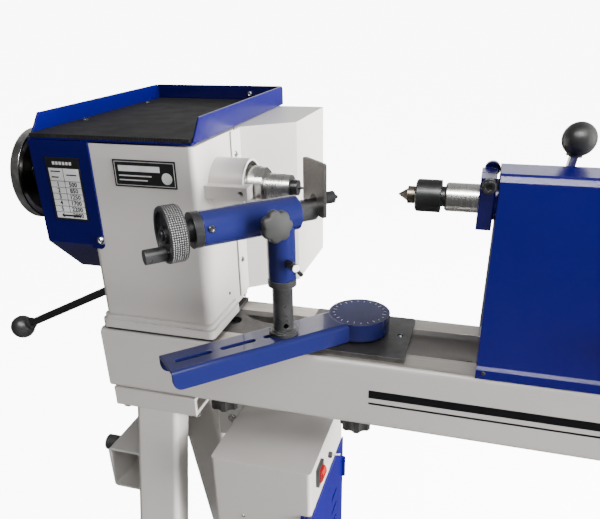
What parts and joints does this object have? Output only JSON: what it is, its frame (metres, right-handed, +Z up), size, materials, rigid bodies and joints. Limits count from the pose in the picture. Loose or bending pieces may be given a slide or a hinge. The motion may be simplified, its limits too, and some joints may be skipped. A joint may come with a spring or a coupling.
{
  "type": "wood lathe",
  "caption": "Bench-height wood lathe on a splayed stand, with sliding headstock, lever tailstock and a swinging ball-turning attachment fixed to the bed.",
  "frame": {"origin": "centre of the overall outline, on the floor", "axes": "+X along the bed from headstock to tailstock, +Y away from the operator, +Z up"},
  "size_m": [1.5624, 0.5408, 1.161],
  "materials": {
    "light_grey": "gloss powder coat",
    "blue": "gloss enamel",
    "jig_blue": "gloss powder coat",
    "bed_paint": "satin powder coat with ground tops",
    "steel": "turned",
    "raw_steel": "mill finish",
    "black_steel": "black oxide",
    "chrome": "polished",
    "aluminium": "machined",
    "black_plastic": "moulded",
    "rubber": "ribbed",
    "red_plastic": "translucent",
    "label": "printed plate",
    "motor_paint": "satin"
  },
  "bodies": {
    "frame": {"bed_rails": "bed_paint", "bed_webs": "bed_paint", "stand_heads": "light_grey", "stand_front_legs": "light_grey", "stand_rear_legs": "light_grey", "stand_feet": "rubber", "stand_bolts": "steel", "tool_socket": "light_grey", "cabinet_shell": "light_grey", "cabinet_lugs": "light_grey", "switch_frame": "black_plastic"},
    "socket_screw": {"socket_knob": "black_plastic"},
    "door": {"cabinet_door": "blue"},
    "rocker": {"rocker": "red_plastic"},
    "toggle": {"toggle": "chrome"},
    "headstock": {"saddle_plate": "black_steel", "headstock_body": "light_grey", "motor_box": "light_grey", "motor_hood": "light_grey", "tray": "blue", "tray_mat": "rubber", "belt_guard": "blue", "label_plates": "label", "bearings": "steel", "motor": "motor_paint", "drive_belt": "rubber", "head_clamp": "black_steel"},
    "spindle": {"spindle": "steel", "lock_nut": "steel", "handwheel": "chrome", "spindle_pulley": "aluminium", "drive_centre": "black_steel"},
    "motor_shaft": {"motor_rotor": "aluminium"},
    "head_lever": {"clamp_shaft": "steel", "clamp_lever": "black_steel", "clamp_knob": "black_plastic"},
    "jig_base": {"jig_plate": "black_steel", "jig_clamp": "black_steel"},
    "jig_nut": {"jig_nut": "black_plastic"},
    "jig_arm": {"jig_disc": "jig_blue", "jig_arm": "jig_blue", "jig_post": "black_steel"},
    "jig_head": {"jig_sleeve": "jig_blue"},
    "tee_handle": {"tee_handle": "black_steel"},
    "star_knob": {"star_knob": "black_plastic"},
    "feed_bar": {"feed_bar": "black_steel", "shield": "raw_steel", "cutter": "black_steel"},
    "feed_wheel": {"feed_wheel": "black_steel"},
    "wheel_grip": {"wheel_grip": "black_steel"},
    "tailstock": {"tail_body": "blue", "quill_block": "blue", "tail_clamp": "black_steel"},
    "quill": {"quill": "steel", "live_body": "black_steel"},
    "live_tip": {"live_tip": "black_steel"},
    "quill_lever": {"quill_lever": "steel", "quill_knob": "black_plastic"},
    "block_screw": {"block_screw": "steel"},
    "tail_lock": {"tail_lock": "black_steel"}
  },
  "joints": [
    {"name": "spindle_spin", "type": "hinge", "parent": "headstock", "child": "spindle", "pos_m": [-0.38183, -0.01964, 1.071], "axis": [1, 0, 0], "continuous": true},
    {"name": "motor_spin", "type": "hinge", "parent": "headstock", "child": "motor_shaft", "pos_m": [-0.53183, 0.16536, 1.008], "axis": [1, 0, 0], "continuous": true},
    {"name": "headstock_slide", "type": "slide", "parent": "frame", "child": "headstock", "axis": [1, 0, 0], "range_m": [0, 0.025]},
    {"name": "head_lever_turn", "type": "hinge", "parent": "headstock", "child": "head_lever", "pos_m": [-0.56183, -0.01964, 0.933], "axis": [0, 1, 0], "range_deg": [-10, 8]},
    {"name": "socket_screw_turn", "type": "hinge", "parent": "frame", "child": "socket_screw", "pos_m": [-0.62984, -0.06764, 0.635], "axis": [1, 0, 0], "range_deg": [-720, 720]},
    {"name": "door_hinge", "type": "hinge", "parent": "frame", "child": "door", "pos_m": [-0.26824, 0.06536, 0.497], "axis": [0, 0, 1], "range_deg": [0, 110]},
    {"name": "rocker_tilt", "type": "hinge", "parent": "frame", "child": "rocker", "pos_m": [-0.27583, -0.08764, 0.667], "axis": [0, 1, 0], "range_deg": [-20, 0]},
    {"name": "toggle_tilt", "type": "hinge", "parent": "frame", "child": "toggle", "pos_m": [-0.27683, -0.02364, 0.651], "axis": [0, 1, 0], "range_deg": [0, 16]},
    {"name": "jig_slide", "type": "slide", "parent": "frame", "child": "jig_base", "axis": [1, 0, 0], "range_m": [-0.01, 0.05]},
    {"name": "jig_nut_turn", "type": "hinge", "parent": "jig_base", "child": "jig_nut", "pos_m": [-0.23184, -0.01964, 0.718], "axis": [0, 0, 1], "range_deg": [-720, 720]},
    {"name": "arm_swing", "type": "hinge", "parent": "jig_base", "child": "jig_arm", "pos_m": [-0.23184, -0.01964, 0.888], "axis": [0, 0, 1], "range_deg": [-8, 75]},
    {"name": "head_height", "type": "slide", "parent": "jig_arm", "child": "jig_head", "axis": [0, 0, 1], "range_m": [0, 0.02]},
    {"name": "tee_turn", "type": "hinge", "parent": "jig_head", "child": "tee_handle", "pos_m": [-0.29335, -0.12359, 1.005], "axis": [0.7071, -0.7071, 0], "range_deg": [-360, 360]},
    {"name": "star_turn", "type": "hinge", "parent": "jig_head", "child": "star_knob", "pos_m": [-0.30962, -0.13985, 1.06], "axis": [0.7071, -0.7071, 0], "range_deg": [-360, 360]},
    {"name": "wheel_turn", "type": "hinge", "parent": "jig_head", "child": "feed_wheel", "pos_m": [-0.40861, -0.19642, 1.06], "axis": [-0.7071, -0.7071, 0], "range_deg": [-1800, 1800]},
    {"name": "bar_feed", "type": "slide", "parent": "jig_head", "child": "feed_bar", "axis": [-0.7071, -0.7071, 0], "range_m": [-0.008, 0.008]},
    {"name": "grip_spin", "type": "hinge", "parent": "feed_wheel", "child": "wheel_grip", "pos_m": [-0.4203, -0.21302, 1.0403], "axis": [-0.7071, -0.7071, 0], "continuous": true},
    {"name": "tailstock_slide", "type": "slide", "parent": "frame", "child": "tailstock", "axis": [1, 0, 0], "range_m": [-0.04, 0.58]},
    {"name": "quill_lever_turn", "type": "hinge", "parent": "tailstock", "child": "quill_lever", "pos_m": [0.00016, -0.01964, 1.0297], "axis": [0, 1, 0], "range_deg": [-60, 60]},
    {"name": "quill_slide", "type": "slide", "parent": "tailstock", "child": "quill", "axis": [1, 0, 0], "range_m": [-0.026, 0.026]},
    {"name": "live_spin", "type": "hinge", "parent": "quill", "child": "live_tip", "pos_m": [-0.16184, -0.01964, 1.071], "axis": [1, 0, 0], "continuous": true},
    {"name": "block_screw_turn", "type": "hinge", "parent": "tailstock", "child": "block_screw", "pos_m": [-0.08184, -0.01964, 1.0945], "axis": [0, 1, 0], "range_deg": [-90, 90]},
    {"name": "tail_lock_turn", "type": "hinge", "parent": "tailstock", "child": "tail_lock", "pos_m": [0.13417, -0.01964, 0.916], "axis": [0, 1, 0], "range_deg": [-60, 20]}
  ],
  "couplings": [
    {"joint": "motor_spin", "follows": "spindle_spin", "ratio": 1.2564},
    {"joint": "bar_feed", "follows": "wheel_turn", "m_per_rad": -0.00023873},
    {"joint": "quill_slide", "follows": "quill_lever_turn", "m_per_rad": 0.0243}
  ]
}
